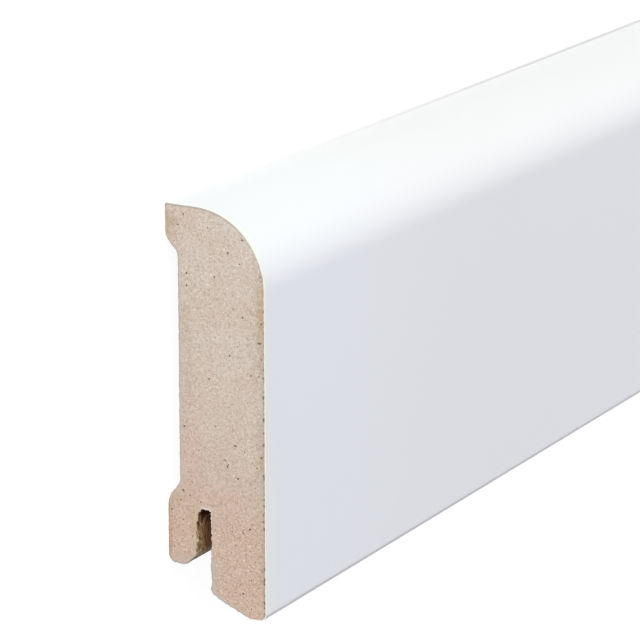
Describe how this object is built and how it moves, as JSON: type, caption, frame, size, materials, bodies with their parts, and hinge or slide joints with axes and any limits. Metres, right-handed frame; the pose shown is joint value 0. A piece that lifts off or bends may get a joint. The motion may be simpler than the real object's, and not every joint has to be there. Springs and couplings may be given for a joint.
{
  "type": "skirting board length",
  "caption": "Wrapped fibreboard skirting with a rounded top, a shallow rear relief and a clip groove behind its foot.",
  "frame": {"origin": "under the middle of the board, on the surface that it lies on, which is the wall plane once it is fitted", "axes": "+X along the board, +Y up once it stands on its floor, +Z out from the wall through the decor face"},
  "size_m": [2.4, 0.06, 0.016],
  "materials": {
    "raw_fibreboard": "matte",
    "white_foil": "satin"
  },
  "bodies": {
    "root": {"mdf_core": "raw_fibreboard", "foil_wrap": "white_foil"}
  },
  "joints": []
}
